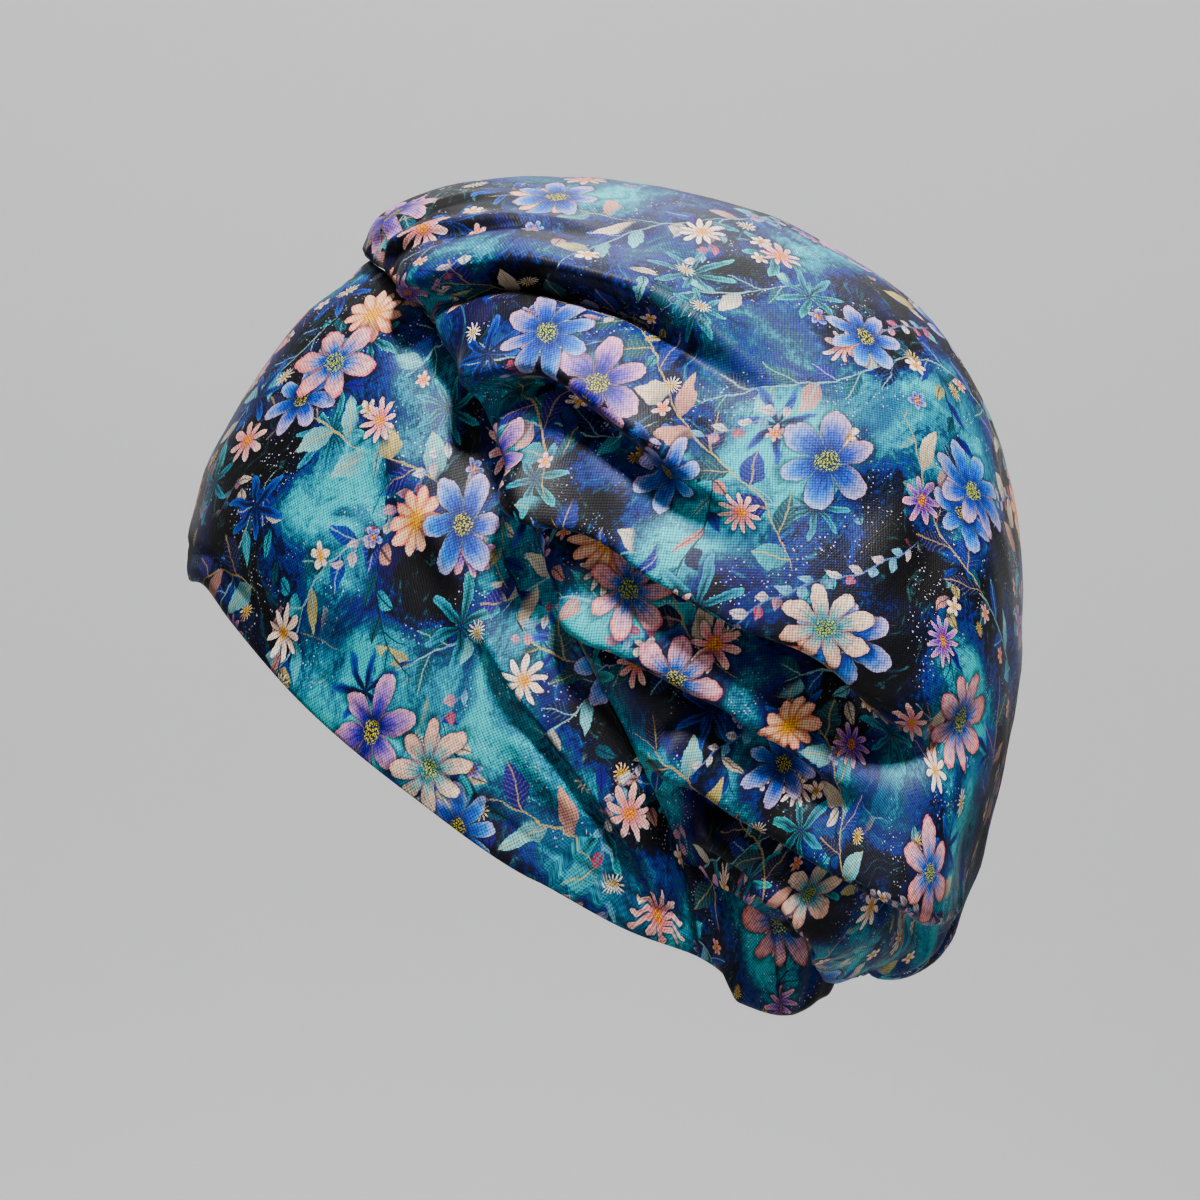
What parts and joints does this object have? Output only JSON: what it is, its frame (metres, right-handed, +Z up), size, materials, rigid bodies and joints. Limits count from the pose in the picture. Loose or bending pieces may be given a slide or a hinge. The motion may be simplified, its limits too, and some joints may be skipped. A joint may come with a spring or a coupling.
{
  "type": "bouffant scrub cap",
  "caption": "Cloth scrub cap in worn form: a fitted front band, a full gathered crown with swagged folds and a hair pouch at the back, and a gathered nape casing.",
  "frame": {"origin": "the top of the wearer's head, inside the crown", "axes": "+Z up along the wearer's head, -Y the way the wearer faces, +X towards the wearer's left"},
  "size_m": [0.1871, 0.2337, 0.2338],
  "materials": {
    "printed_cotton_band": "fine woven cotton printed with a dense floral on deep blue, smooth, slight sheen",
    "printed_cotton_crown": "fine woven cotton printed with a dense floral on deep blue, gathered, slight sheen",
    "printed_cotton_casing": "the same printed cotton, ruffled by the elastic inside it"
  },
  "bodies": {
    "root": {"band": "printed_cotton_band", "crown": "printed_cotton_crown", "nape_casing": "printed_cotton_casing"}
  },
  "joints": []
}
